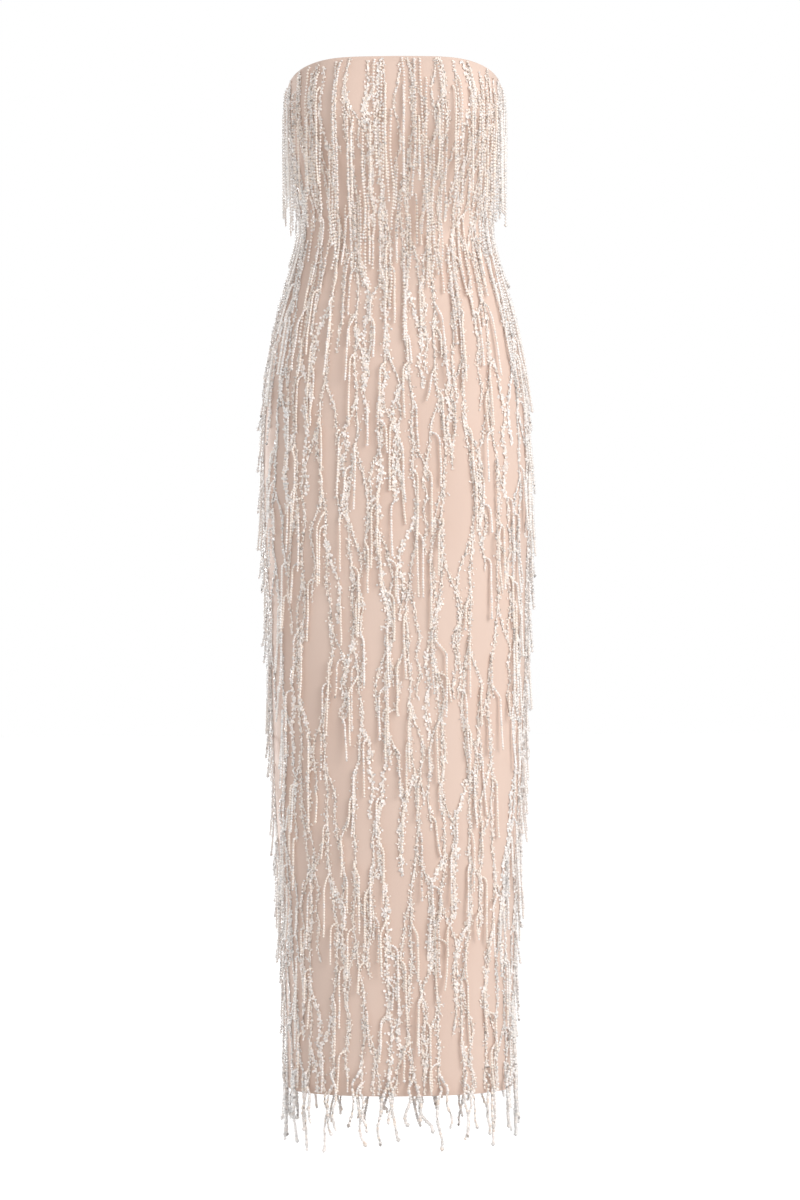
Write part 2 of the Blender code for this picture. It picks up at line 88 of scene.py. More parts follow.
# Soft troughs in the cloth: each one's turn in degrees at its top, its two ends, how far it leans on the way
# down, how wide it is from middle to shoulder, and how deep.
CREASES = (
    (-58, 0.060, -0.060, 6, 0.011, 0.0011),
    (-24, 0.085, -0.020, -4, 0.009, 0.0009),
    (21, 0.070, -0.045, 5, 0.010, 0.0010),
    (52, 0.055, -0.075, -5, 0.012, 0.0012),
    (-44, -0.300, -0.780, 3, 0.016, 0.0014),
    (-12, -0.520, -1.060, -2, 0.014, 0.0010),
    (9, -0.180, -0.560, 2, 0.013, 0.0008),
    (33, -0.640, -1.130, 3, 0.017, 0.0014),
    (57, -0.260, -0.820, -3, 0.018, 0.0015),
    (-71, -0.560, -1.130, 2, 0.017, 0.0015),
    (83, -0.700, -1.130, -2, 0.016, 0.0014),
    (118, -0.330, -0.900, 3, 0.018, 0.0016),
    (146, -0.240, -0.700, -3, 0.015, 0.0014),
    (163, -0.620, -1.130, 2, 0.016, 0.0012),
    (-109, -0.380, -1.000, -3, 0.018, 0.0016),
    (-138, -0.230, -0.640, 3, 0.015, 0.0014),
    (-160, -0.700, -1.130, -2, 0.016, 0.0012),
    (128, 0.030, -0.080, 5, 0.011, 0.0012),
    (-131, 0.040, -0.070, -5, 0.011, 0.0012),
)
# A crease's shoulders, how much wider and how high for its trough, and how bluntly it starts and ends.
SHOULDER_WIDE = 1.9
SHOULDER_HIGH = 0.55
CREASE_BLUNT = 0.8
# The hem's turned-up edge shows as a small soft step.
HEM_TURN_UP = 0.018
HEM_STEP = 0.25 * MM
HEM_SOFT = 0.4 * MM
STEP_LIMIT = 60

# ---- sizes of the cloth pieces
CLOTH = 1.2 * MM
SEAM_GAP = 0.16 * MM
SEAM_DIP = 0.7 * MM
SEAM_REACH = 3.5 * MM
CLOTH_ROWS = 120
FOLD_STEPS = 4
FIT_ROUNDS = 3
# How each piece was cut: its greatest width and length, and its flat area.
Panel = namedtuple("Panel", "name columns cut area")
PANELS = (
    Panel("back_panel_right", 40, (0.244, 1.315), 0.276),
    Panel("front_panel", 80, (0.464, 1.353), 0.568),
    Panel("back_panel_left", 40, (0.244, 1.315), 0.276),
)

# ---- sizes of the beadwork
LINES_IN_A_QUARTER = 6
SPACING_HEIGHT = -0.30
SPACING_STEPS = 180
SOLID_SEED = 4100
BEAD_SEED = 9300
PATH_STEP = 1.0 * MM
EDGE_MARGIN = 4 * MM
HEM_SHARE = 0.03
BODICE_FOOT = 0.02
ZIP_CLEAR = 10 * MM
ZIP_RETURN = 45 * MM
# How many degrees round from a side seam the beadwork is denser, and the bodice strands end above the waist.
SIDE_DEGREES = 24
CLEAR_WAIST, CLEAR_FADE = 50, 25

# The beads. The dark beads of painted shade and the last one of a strand are so many times their usual size.
STRAND_BEAD = 4.2 * MM
END_BEAD = 4.8 * MM
SEED = 2.4 * MM
SEQUIN = 2.8 * MM
SHADE_SPECK_SIZE = 0.6
SMALL_END, LARGE_END, LARGE_ENDS = 0.85, 1.15, 0.3

# The vines. The bodice's, the twigs, the short ones from the top edge and the rope under the loose pieces are
# these shares of VINE_WIDTH wide. VINE_FILL is how many loose pieces lie on each metre.
VINE_WIDTH = 6.0 * MM
BODICE_VINE = 0.78
TWIG_VINE = 0.8
TOP_VINE = 0.6
ROPE_SHARE = 0.56
VINE_HEIGHT = 1.5 * MM
VINE_FILL = 1060
AT_SIDE, TOWARD_FRONT = 0.74, 0.26
# A vine's loose pieces: their spread, the share of sequins, their size, and the shares of the finishes.
Pieces = namedtuple("Pieces", "spread flat size shares")
PLAIN = Pieces(0.42, 0.4, 1.0, (0.24, 0.19, 0.17, 0.09, 0.31))
BOLD = Pieces(0.56, 0.65, 1.35, (0.46, 0.20, 0.12, 0.02, 0.20))
BOLD_SHARE = 0.25
SPREAD_LIMIT = 1.35
FIXED_SPREAD, ROPE_SPREAD = 0.3, 0.7
HEAP_TOP, HEAP_FALL = 1.2, 1.9
PIECE_LEAN = 0.4
Margins = namedtuple("Margins", "hem top")
ROPE_MARGINS = Margins(1.5 * MM, 2 * MM)
PIECE_MARGINS = Margins(2 * MM, 2.2 * MM)
# How vines wander across their strip and ripple, and how their rope is thick and thin by turns.
Wave = namedtuple("Wave", "long high")
VINE_WAVES = (Wave(0.43, 0.68), Wave(0.185, 0.32))
RIPPLE = Wave(0.06, 0.05)
BODICE_WANDER, SKIRT_WANDER, WANDER_RISE = 0.14, 0.30, 0.25
ROPE_WAVES = (Wave(0.052, 0.22), Wave(0.023, 0.16), Wave(0.0115, 0.14))
THINNEST, USUAL, THICKEST = 0.42, 0.78, 1.15
BODICE_FADE = 0.06
ROOT_TAPER, ROOT_BLUNT = 0.008, 0.3
TIP_TAPER, TIP_BLUNT = 0.016, 0.15
ROPE_STEP, ROPE_FEWEST = 3.5 * MM, 3
ROPE_FOOT = 0.5 * MM
ROPE_JITTER = 0.12
# Across a vine's rope: how far each of its points is from the middle, and how high, as shares of its size.
ROPE_SECTION = ((-0.50, 0.12), (-0.30, 0.80), (0.0, 1.0), (0.30, 0.80), (0.50, 0.12))
# How far above the hem the twigs end, and their tips, and how many grow on the other side than the last.
TWIGS_END, TIPS_END, TWIG_SWITCH = 0.06, 0.05, 0.75
TWIG_SWAY = 0.12
TWIG_BEND = 0.8

# The strands come off the cloth within LIFT_STEP, and go aside in SIDE_STEP, or in HOOK_STEP if they rise.
ROOT_DROP = 1.5 * MM
STRAND_LIFT, ROOT_LIFT, LIFT_STEP = 5.4 * MM, 0.35, 4 * MM
SIDE_STEP = 22 * MM
HOOK_STEP, HOOK_RISE = 13 * MM, 2.5 * MM
STRAND_SWAY, SOLID_SWAY, BODICE_SWAY, HEM_SWAY = 0.04, 0.05, 0.16, 0.3
# How far a free hem strand splays, how far it is lifted off the cloth and how far it first rises.
HEM_TIP = (1 * MM, 5 * MM, 1.5 * MM)
PHASES = (0, 6.28)
# Shares of the strands: the sparkling ones and what a side seam adds to them, and the ivory ones of the rest.
SOLID_SPARKLE, WAIST_SPARKLE = 0.1, 0.4
BODICE_SPARKLE, SIDE_BODICE_SPARKLE = 0.34, -0.16
SKIRT_SPARKLE, SIDE_SKIRT_SPARKLE = 0.12, 0.4
IVORY_SHARE = 0.68
# How many strands a line has, how many fewer at a side, and the share that start just below the top edge.
BODICE_LANES, FEWER_BODICE_LANES = 7, 2
WAIST_LANES, FEWER_WAIST_LANES = 4, 1
HIGH_ROOTS = 0.3
# The least and most that they go aside, that their tips stray and splay, and that they are lifted in mm.
BODICE_LIMITS = ((-0.12, 0.12), (-0.25, 0.25), (-4, 0), (2.4, 5.0))
WAIST_LIMITS = ((-0.15, 0.15), (-0.2, 0.2), (0, 2), (2.4, 4.4))
SHORTEST = 0.03
# Some skirt strands swing well aside or stray far. Near a side they are closer and rooted away from the vine.
WIDE_SHARE, STRAY_SHARE, STRAY_MORE = 0.1, 0.12, 3
SIDE_CLOSER, SIDE_ROOTS = 0.58, 0.6

# The strands that the solids have, 8 on each line.
Strand = namedtuple("Strand", "root length root_vary length_vary place stray splay")
STRANDS = (
    Strand(0.975, 0.124, 0.004, 0.016, -0.45, 0.05, -0.007),
    Strand(0.945, 0.094, 0.012, 0.012, 0.45, 0.05, -0.006),
    Strand(0.775, 0.098, 0.025, 0.018, -0.30, 0.15, 0.004),
    Strand(0.595, 0.088, 0.045, 0.016, 0.30, 0.15, 0.006),
    Strand(0.410, 0.088, 0.050, 0.016, -0.30, 0.15, 0.006),
    Strand(0.220, 0.088, 0.050, 0.016, 0.30, 0.15, 0.005),
    Strand(0.023, 0.072, 0.006, 0.018, -0.38, 0.22, 0.005),
    Strand(0.012, 0.066, 0.004, 0.022, 0.38, 0.22, 0.005),
)

# ---- sizes of the zip
TAPE_WIDTH = 12 * MM
TAPE_THICK = 0.7 * MM
TAPE_COLUMNS, TAPE_ROWS = 9, 70
TAPE_PAST_FOOT = 6 * MM
WALL = 1.5 * MM
FIT = 0.3 * MM
TOOTH_PITCH = 1.3 * MM
# A tooth's length toward the other tape, its width along the zip and its height, and its narrower outer end.
TOOTH = (1.25 * MM, 0.9 * MM, 0.9 * 0.62 * MM)
TOOTH_TAPER = 0.7
TOOTH_SHIFT = 0.35 * MM
TEETH_ABOVE_END = 2 * MM
TEETH_BELOW_TOP = 6 * MM

# ---- camera and light
CAMERA_AT = (0.0035, -4.70, -0.482)
CAMERA_ROLL = math.radians(0.33)
LENS = 106.8
FILM = 36.0
FLOOR = -1.235
FLOOR_SIZE = 30.0
FLOOR_GLOW = 0.88
FLOOR_FILL = 0.32
WORLD_FILL = 0.665
FARTHEST = 60


# ---- the form of the gown
def eased(rows, at):
    """The row at that place on a smooth curve through the rows, whose first column is the place."""
    last = len(rows) - 1
    i = min(max(sum(row[0] < at for row in rows) - 1, 0), last - 1)
    low, high = rows[i], rows[i + 1]
    before, after = rows[max(i - 1, 0)], rows[min(i + 2, last)]
    span = high[0] - low[0]
    t = min(max((at - low[0]) / span, 0.0), 1.0)
    values = []
    for a, b, c, d in zip(before, low, high, after):
        rise_in = (c - a) / (high[0] - before[0]) * span
        rise_out = (d - b) / (after[0] - low[0]) * span
        from_low = b * (1 + 2 * t) + rise_in * t
        from_high = c * (3 - 2 * t) - rise_out * (1 - t)
        values.append(from_low * (1 - t) ** 2 + from_high * t**2)
    return values


def fine_table(rows):
    """The curve through the rows at many places: the places, then each other column."""
    places = np.linspace(rows[0][0], rows[-1][0], TABLE_STEPS)
    return [places, *np.array([eased(rows, at) for at in places]).T[1:]]


SECTION_TABLE = fine_table(SECTIONS)
EDGE_TABLE = fine_table(TOP_EDGE)


def wrapped(turn):
    """The same turn between -180 and 180 degrees."""
    return (turn + math.pi) % (2 * math.pi) - math.pi


def top_edge(turn):
    """The height of the top edge."""
    return TOP - np.interp(np.degrees(np.abs(wrapped(turn))), *EDGE_TABLE)


def relief(turn, z, around):
    """How far creases and the turned-up hem move the cloth out. around is the form's own radius."""
    past_step = np.clip((z - HEM - HEM_TURN_UP) / HEM_SOFT, -STEP_LIMIT, STEP_LIMIT)
    out = HEM_STEP / (1 + np.exp(past_step))
    for degrees, top, bottom, lean, width, depth in CREASES:
        down = np.clip((top - z) / (top - bottom), 0, 1)
        middle = math.radians(degrees) + math.radians(lean) * down
        off = wrapped(turn - middle) * around / width
        dent = SHOULDER_HIGH * np.exp(-((off / SHOULDER_WIDE) ** 2)) - np.exp(-(off**2))
        out = out + depth * dent * np.sin(math.pi * down) ** CREASE_BLUNT
    return out


def radius(turn, z):
    """How far the cloth's outer face is from the Z axis."""
    turn = wrapped(turn)
    half_width, front, back, front_square, back_square, cup = (
        np.interp(z, SECTION_TABLE[0], column) for column in SECTION_TABLE[1:]
    )
    forward = np.cos(turn) >= 0
    depth = np.where(forward, front, back)
    square = np.where(forward, front_square, back_square)
    across = np.abs(np.sin(turn)) / half_width
    along = np.abs(np.cos(turn)) / depth
    around = (across**square + along**square) ** (-1 / square)
    stand_out = cup * np.exp(-(((np.abs(turn) - CUP_TURN) / CUP_SPREAD) ** 2))
    return around + stand_out + relief(turn, z, around)


def placed(turn, distance, z):
    """The point at that turn, distance from the Z axis and height."""
    turn, distance, z = np.broadcast_arrays(turn, distance, z)
    return np.stack((distance * np.sin(turn), -distance * np.cos(turn), z), axis=-1)


def unit(vectors):
    return vectors / np.linalg.norm(vectors, axis=-1, keepdims=True)


def on_cloth(turn, z):
    return placed(turn, radius(turn, z), z)


def outward(turn, z):
    """The direction straight out of the cloth."""
    round_way = on_cloth(turn + SLOPE_STEP, z) - on_cloth(turn - SLOPE_STEP, z)
    up_way = on_cloth(turn, z + SLOPE_STEP) - on_cloth(turn, z - SLOPE_STEP)
    return unit(np.cross(round_way, up_way))


def lifted_radius(turn, z, lift):
    """How far from the Z axis a point is that stands off the cloth by lift."""
    here = radius(turn, z)
    round_rise = radius(turn + SLOPE_STEP, z) - radius(turn - SLOPE_STEP, z)
    up_rise = radius(turn, z + SLOPE_STEP) - radius(turn, z - SLOPE_STEP)
    slope = np.sqrt(1 + (round_rise / here / (2 * SLOPE_STEP)) ** 2 + (up_rise / (2 * SLOPE_STEP)) ** 2)
    return here + lift * slope


def height_of(turn, share):
    return HEM + share * (top_edge(turn) - HEM)


# ---- making objects
def mesh_object(name, points, faces, materials, slots=None, smooth=True):
    """An object with a mesh of triangles or quads. slots and smooth may have one value for each face."""
    mesh = bpy.data.meshes.new(name)
    faces = np.asarray(faces, dtype=np.int32)
    corners = faces.shape[1]
    mesh.vertices.add(len(points))
    mesh.vertices.foreach_set("co", np.asarray(points, dtype=np.float32).ravel())
    mesh.loops.add(faces.size)
    mesh.loops.foreach_set("vertex_index", faces.ravel())
    mesh.polygons.add(len(faces))
    mesh.polygons.foreach_set("loop_start", np.arange(0, faces.size, corners, dtype=np.int32))
    mesh.polygons.foreach_set("use_smooth", np.broadcast_to(smooth, len(faces)).copy())
    for material in materials:
        mesh.materials.append(material)
    if slots is not None:
        mesh.polygons.foreach_set("material_index", np.asarray(slots, dtype=np.int32))
    mesh.update(calc_edges=True)
    obj = bpy.data.objects.new(name, mesh)
    bpy.context.scene.collection.objects.link(obj)
    return obj


def grid_quads(index):
    """The quads between the rows and columns of a grid of points, given each point's number."""
    return np.stack((index[:-1, :-1], index[:-1, 1:], index[1:, 1:], index[1:, :-1]), axis=-1).reshape(-1, 4)


Template = namedtuple("Template", "points faces smooth")
DOME_FOOT = -0.2
DOME_TOP = 0.42


def ring_of(sides, z=0.0):
    angles = np.arange(sides) * 2 * math.pi / sides
    return np.stack((np.cos(angles) / 2, np.sin(angles) / 2, 0 * angles + z), axis=1)


def seed_template(sides=4):
    """A round bead of unit size along its own Z axis: a ring with a point on each side."""
    points = np.vstack((ring_of(sides), [[0, 0, 0.5], [0, 0, -0.5]]))
    faces = [(i, (i + 1) % sides, sides) for i in range(sides)]
    faces += [((i + 1) % sides, i, sides + 1) for i in range(sides)]
    return Template(points, np.array(faces), True)


def dome_template(sides=5):
    """The outer half of a round bead of unit width, facing its own Z axis."""
    points = np.vstack((ring_of(sides, DOME_FOOT), [[0, 0, DOME_TOP]]))
    return Template(points, np.array([(i, (i + 1) % sides, sides) for i in range(sides)]), True)


def sequin_template(sides=6):
    """A flat disc of unit width that faces its own Z axis."""
    return Template(ring_of(sides), np.array([(0, i, i + 1) for i in range(1, sides - 1)]), False)


def block_template():
    """A block of unit size with a narrower outer end."""
    corners = [(x, y, z) for z in (-0.5, 0.5) for y in (-0.5, 0.5) for x in (-0.5, 0.5)]
    points = np.array(corners) * np.array([[1, 1, 1]] * 4 + [[TOOTH_TAPER, TOOTH_TAPER, 1]] * 4)
    quads = [(0, 2, 3, 1), (4, 5, 7, 6), (0, 1, 5, 4), (2, 6, 7, 3), (0, 4, 6, 2), (1, 3, 7, 5)]
    faces = [(a, b, c) for a, b, c, d in quads] + [(a, c, d) for a, b, c, d in quads]
    return Template(points, np.array(faces), False)


SEED_BEAD = seed_template()
DOME = dome_template()
SEQUIN_DISC = sequin_template()
BLOCK = block_template()


def frames_from(main, near):
    """Axes for copies, as the rows of each one's matrix: Z along main, and X as near as may be to near."""
    main = unit(main)
    side = unit(np.cross(main, near))
    return np.stack((np.cross(side, main), side, main), axis=1)


class Pile:
    """Many small copies of a few templates, gathered into one mesh."""

    def __init__(self):
        self.parts = []
        self.count = 0

    def add_faces(self, points, faces, slots, smooth):
        """Triangles of their own. slots and smooth may have one value for all of them."""
        each_slot, each_smooth = (np.broadcast_to(values, len(faces)) for values in (slots, smooth))
        self.parts.append((points, faces + self.count, each_slot, each_smooth))
        self.count += len(points)

    def add(self, template, places, axes, sizes, slots):
        """sizes has one row for each copy, along its own axes."""
        own = template.points[None, :, :] * sizes[:, None, :]
        points = places[:, None, :] + np.einsum("npk,nkj->npj", own, axes)
        starts = np.arange(len(places)) * len(template.points)
        faces = (starts[:, None, None] + template.faces[None]).reshape(-1, 3)
        slots = np.repeat(np.broadcast_to(slots, len(places)), len(template.faces))
        self.add_faces(points.reshape(-1, 3), faces, slots, template.smooth)

    def build(self, name, materials):
        points, faces, slots, smooth = (np.concatenate(column) for column in zip(*self.parts))
        return mesh_object(name, points, faces, materials, slots, smooth)


# ---- materials
class Shader:
    """A material whose Principled shader is fed by a few procedural nodes."""

    def __init__(self, name):
        self.material = bpy.data.materials.new(name)
        self.material.use_nodes = True
        self.tree = self.material.node_tree
        self.surface = self.tree.nodes["Principled BSDF"]
        self.where = self.node("ShaderNodeTexCoord").outputs["Object"]

    def node(self, kind, **settings):
        made = self.tree.nodes.new(kind)
        for key, value in settings.items():
            setattr(made, key, value)
        return made

    def join(self, output, target):
        self.tree.links.new(output, target)

    def set(self, **values):
        """Constants on the Principled shader's own sockets, by their names with _ for a space."""
        for key, value in values.items():
            self.surface.inputs[key.replace("_", " ")].default_value = value

    def noise(self, scale, detail=2.0, stretch=(1, 1, 1)):
        mapping = self.node("ShaderNodeMapping")
        mapping.inputs["Scale"].default_value = stretch
        self.join(self.where, mapping.inputs["Vector"])
        noise = self.node("ShaderNodeTexNoise")
        noise.inputs["Scale"].default_value = scale
        noise.inputs["Detail"].default_value = detail
        self.join(mapping.outputs["Vector"], noise.inputs["Vector"])
        return noise.outputs["Fac"]

    def wave(self, scale, axis):
        wave = self.node("ShaderNodeTexWave", bands_direction=axis)
        wave.inputs["Scale"].default_value = scale
        self.join(self.where, wave.inputs["Vector"])
        return wave.outputs["Fac"]

    def maths(self, operation, first, second):
        made = self.node("ShaderNodeMath", operation=operation)
        for socket, value in zip(made.inputs, (first, second)):
            if isinstance(value, (int, float)):
                socket.default_value = value
            else:
                self.join(value, socket)
        return made.outputs[0]

    def colour(self, amount, stops):
        """The surface's colour by amount: stops are (position, colour)."""
        made = self.node("ShaderNodeValToRGB")
        line = made.color_ramp
        for element, (position, _) in zip(line.elements, stops):
            element.position = position
        for position, _ in stops[2:]:
            line.elements.new(position)
        for element, (_, colour) in zip(line.elements, stops):
            element.color = (*colour, 1)
        self.join(amount, made.inputs["Fac"])
        self.join(made.outputs["Color"], self.surface.inputs["Base Color"])

    def roughness(self, amount, low, high):
        made = self.node("ShaderNodeMapRange")
        made.inputs["To Min"].default_value = low
        made.inputs["To Max"].default_value = high
        self.join(amount, made.inputs["Value"])
        self.join(made.outputs["Result"], self.surface.inputs["Roughness"])

    def bump(self, height, distance, strength=1.0):
        made = self.node("ShaderNodeBump")
        made.inputs["Distance"].default_value = distance
        made.inputs["Strength"].default_value = strength
        self.join(height, made.inputs["Height"])
        self.join(made.outputs["Normal"], self.surface.inputs["Normal"])


def satin():
    """Blush satin: a fine twill-like weave, a soft sheen, and slow lighter and darker upright streaks in its
    colour, which are painted shade of soft wrinkles.
    """
    shader = Shader("blush_satin")
    # Painted shade: the colour's soft upright streaks, lighter and darker, stand in for the shading of soft
    # wrinkles.
    shader.colour(
        shader.noise(scale=7, detail=3, stretch=(1, 1, 0.45)),
        [(0.30, (0.735, 0.553, 0.465)), (0.50, (0.765, 0.588, 0.500)), (0.70, (0.785, 0.613, 0.525))],
    )
    threads = shader.maths("MULTIPLY", shader.wave(scale=900, axis="X"), shader.wave(scale=900, axis="Z"))
    slubs = shader.noise(scale=500, stretch=(1, 1, 0.12))
    shader.roughness(slubs, low=0.46, high=0.62)
    weave = shader.maths("ADD", threads, slubs)
    shader.bump(weave, distance=0.06 * MM, strength=0.6)
    shader.set(Sheen_Weight=0.25, Sheen_Roughness=0.4, Specular_IOR_Level=0.35)
    return shader.material


def tape_cloth():
    """Woven zip tape, ribbed across."""
    shader = Shader("blush_tape")
    shader.colour(shader.noise(scale=60), [(0.3, (0.70, 0.52, 0.42)), (0.7, (0.78, 0.60, 0.50))])
    ribs = shader.wave(scale=420, axis="Z")
    shader.roughness(ribs, low=0.6, high=0.8)
    shader.bump(ribs, distance=0.15 * MM)
    shader.set(Sheen_Weight=0.15)
    return shader.material


def enamel():
    """Painted metal with small worn spots."""
    shader = Shader("blush_enamel")
    wear = shader.noise(scale=900, detail=4)
    shader.colour(wear, [(0.62, (0.76, 0.60, 0.52)), (0.74, (0.70, 0.66, 0.62))])
    shader.roughness(shader.noise(scale=350), low=0.25, high=0.42)
    shader.bump(wear, distance=0.03 * MM)
    shader.set(Coat_Weight=0.5, Coat_Roughness=0.15)
    return shader.material


def nylon():
    """The zip's teeth, dyed to match."""
    shader = Shader("blush_nylon")
    shader.colour(shader.noise(scale=800), [(0.3, (0.74, 0.56, 0.46)), (0.7, (0.82, 0.65, 0.55))])
    shader.roughness(shader.noise(scale=500), low=0.3, high=0.45)
    return shader.material


# How a finish looks: its darker and lighter beads, how rough they are and how much they glow. The glow is
# painted light: it stands in for light passing through the glass and for glints.
Finish = namedtuple("Finish", "name dark light rough glow")
FINISHES = (
    Finish("ivory_beads", (0.87, 0.76, 0.67), (0.96, 0.87, 0.79), (0.22, 0.40), 0.085),
    Finish("pearl_beads", (0.85, 0.77, 0.74), (0.98, 0.92, 0.88), (0.12, 0.28), 0.12),
    Finish("silver_beads", (0.68, 0.63, 0.60), (0.90, 0.86, 0.83), (0.10, 0.28), 0.055),
    Finish("clear_beads", (0.78, 0.65, 0.57), (0.93, 0.83, 0.75), (0.06, 0.20), 0.07),
    # Painted shade: the darkest finish is dark beads, set where the gaps between beads fall in shade.
    Finish("shade_speck_beads", (0.38, 0.33, 0.30), (0.56, 0.50, 0.46), (0.10, 0.30), 0.0),
)
IVORY, PEARL, SILVER, CLEAR, SHADE_SPECK = range(len(FINISHES))
ROPE = len(FINISHES)
# A pattern of this scale changes from one bead to the next.
BEAD_SIZED = 360
# The lines whose near_side is above NEAR_SIDE are silver-lined more than ivory: green and blue come SIDE_COOL
# of the way up to red.
SIDE_COOL = 0.5
NEAR_SIDE = 0.3

# How a strand is made up: the shares of each finish in every other bead and in those between, how far apart
# they are, how long each is for that, how wide for STRAND_BEAD, and how far off the line.
# The darkest finish among those between is painted shade where the beads meet.
Mix = namedtuple("Mix", "main between pitch long wide loose")
IVORY_STRING = Mix((0.80, 0.12, 0.05, 0.03, 0.0), (0.70, 0.16, 0.10, 0.04, 0.0), 3.6 * MM, 1.65, 0.98, 0.0)
PEARL_STRING = Mix((0.20, 0.66, 0.10, 0.04, 0.0), (0.20, 0.52, 0.22, 0.06, 0.0), 3.6 * MM, 1.65, 0.98, 0.0)
BODICE_STRING = Mix((0.50, 0.42, 0.08, 0.0, 0.0), (0.44, 0.34, 0.20, 0.0, 0.02), 4.3 * MM, 1.0, 1.05, 0.0)
SPARKLING_STRING = Mix(
    (0.34, 0.48, 0.18, 0.0, 0.0), (0.0, 0.0, 0.55, 0.29, 0.16), 2.4 * MM, 1.3, 1.05, 0.3 * MM
)
HEM_STRING = Mix(
    (0.12, 0.42, 0.34, 0.12, 0.0), (0.05, 0.12, 0.45, 0.20, 0.18), 3.2 * MM, 1.95, 1.25, 0.3 * MM
)


def cooled(colour, cool):
    """The colour with its green and blue brought that share of the way up to its red."""
    return tuple(part + (colour[0] - part) * cool for part in colour)


def bead_material(finish, cool):
    """Glass or foil, each bead a little lighter or darker than the next, with a painted glow for light
    through the glass and for glints.
    """
    shader = Shader(finish.name + ("_cool" if cool else ""))
    tone = shader.noise(scale=BEAD_SIZED, detail=1)
    shader.colour(tone, [(0.32, cooled(finish.dark, cool)), (0.62, cooled(finish.light, cool))])
    shader.roughness(shader.noise(scale=2 * BEAD_SIZED, detail=1), *finish.rough)
    shader.set(Coat_Weight=0.4, Coat_Roughness=0.08)
    # Painted light: the emission is a glow for light passing through the glass and for glints, though the
    # beads are no lamp.
    shader.set(Emission_Color=(*cooled(finish.light, cool), 1), Emission_Strength=finish.glow)
    return shader.material


def rope_material(cool):
    """Beads heaped close together: each cell of the pattern is one bead, rounded by its bump. The darkest
    cells are painted shade in the gaps between beads, the palest carry painted glints, and the rope has a
    painted glow.
    """
    shader = Shader("heaped_beads" + ("_cool" if cool else ""))
    cells = shader.node("ShaderNodeTexVoronoi")
    cells.inputs["Scale"].default_value = BEAD_SIZED
    shader.join(shader.where, cells.inputs["Vector"])
    tone = shader.node("ShaderNodeSeparateColor")
    shader.join(cells.outputs["Color"], tone.inputs["Color"])
    # Painted shade and highlights: the darkest stops stand in for the shade between beads, and the palest for
    # glints on them.
    stops = (
        (0.00, (0.36, 0.30, 0.26)),
        (0.10, (0.44, 0.37, 0.33)),
        (0.14, (0.70, 0.60, 0.53)),
        (0.54, (0.80, 0.70, 0.63)),
        (0.60, (0.90, 0.82, 0.75)),
        (1.00, (0.99, 0.94, 0.89)),
    )
    shader.colour(tone.outputs["Red"], [(at, cooled(colour, cool)) for at, colour in stops])
    shader.roughness(tone.outputs["Green"], low=0.12, high=0.34)
    dome = shader.maths("SUBTRACT", 1.0, cells.outputs["Distance"])
    shader.bump(dome, distance=1.6 * MM)
    shader.set(Coat_Weight=0.4, Coat_Roughness=0.08)
    # Painted light: a faint glow for light passing through the glass.
    shader.set(Emission_Color=(1.0, 0.93, 0.87, 1), Emission_Strength=0.05)
    return shader.material


# ---- cloth
def panel_ends(name, z):
    """The turns of a panel's two edges at that height."""
    side_gap = SEAM_GAP / 2 / radius(QUARTER, z)
    if name == "front_panel":
        return -QUARTER + side_gap, QUARTER - side_gap
    back_gap = np.where(z > ZIP_FOOT, ZIP_SLOT / 2, SEAM_GAP / 2)
    middle = math.pi - back_gap / radius(math.pi, z)
    if name == "back_panel_left":
        return QUARTER + side_gap, middle
    return -middle, -QUARTER - side_gap


def profile_of(points, out):
    """Closes a sheet's rows of points into rings: up outside, over the top, down inside, round the hem."""
    inner = points - out * CLOTH
    rings = [points]
    for row, sign in ((-1, 1), (0, -1)):
        up = unit(points[row] - points[row - sign]) * sign
        bends = []
        for k in range(1, FOLD_STEPS):
            angle = math.pi * k / FOLD_STEPS
            middle = (points[row] + inner[row]) / 2
            half = (points[row] - inner[row]) / 2
            bends.append(middle + half * math.cos(angle) + up * sign * CLOTH / 2 * math.sin(angle))
        if sign == 1:
            rings += [np.array(bends), inner[::-1]]
        else:
            rings.append(np.array(bends[::-1]))
    return np.concatenate(rings)


def make_panel(panel, material):
    """One panel. Its points' heights and its edges' turns depend on each other, so it takes a few rounds."""
    across, shares = np.meshgrid(np.linspace(0, 1, panel.columns + 1), np.linspace(0, 1, CLOTH_ROWS))
    z = height_of(0, shares)
    for _ in range(FIT_ROUNDS):
        start, end = panel_ends(panel.name, z)
        turn = start + (end - start) * across
        z = height_of(turn, shares)
    points, out = on_cloth(turn, z), outward(turn, z)
    around = radius(turn, z)
    to_edge = np.minimum((turn - start) * around, (end - turn) * around)
    points -= out * (SEAM_DIP * np.exp(-((to_edge / SEAM_REACH) ** 2)))[..., None]
    rings = profile_of(points, out)
    deep, wide = rings.shape[:2]
    index = np.arange(deep * wide).reshape(deep, wide)
    first_inner = CLOTH_ROWS + FOLD_STEPS - 1
    faces = [grid_quads(np.vstack((index, index[:1])))]
    for column, order in ((0, 1), (wide - 1, -1)):
        outer = index[:CLOTH_ROWS, column]
        inner = index[first_inner : first_inner + CLOTH_ROWS, column][::-1]
        faces.append(grid_quads(np.stack((outer, inner)))[:, ::order])
    obj = mesh_object(panel.name + "_cloth", rings.reshape(-1, 3), np.concatenate(faces), [material])
    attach(obj, "gown")
    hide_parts(panel.name)


# ---- beadwork
def even_turns(start, end, count):
    """Turns from start to end that cut the gown's section at SPACING_HEIGHT into arcs of one length."""
    turns = start + (end - start) * np.arange(SPACING_STEPS + 1) / SPACING_STEPS
    along = run_along(placed(turns, radius(turns, SPACING_HEIGHT), 0))
    return [turns[np.argmin(np.abs(along - along[-1] * i / count))] for i in range(count + 1)]


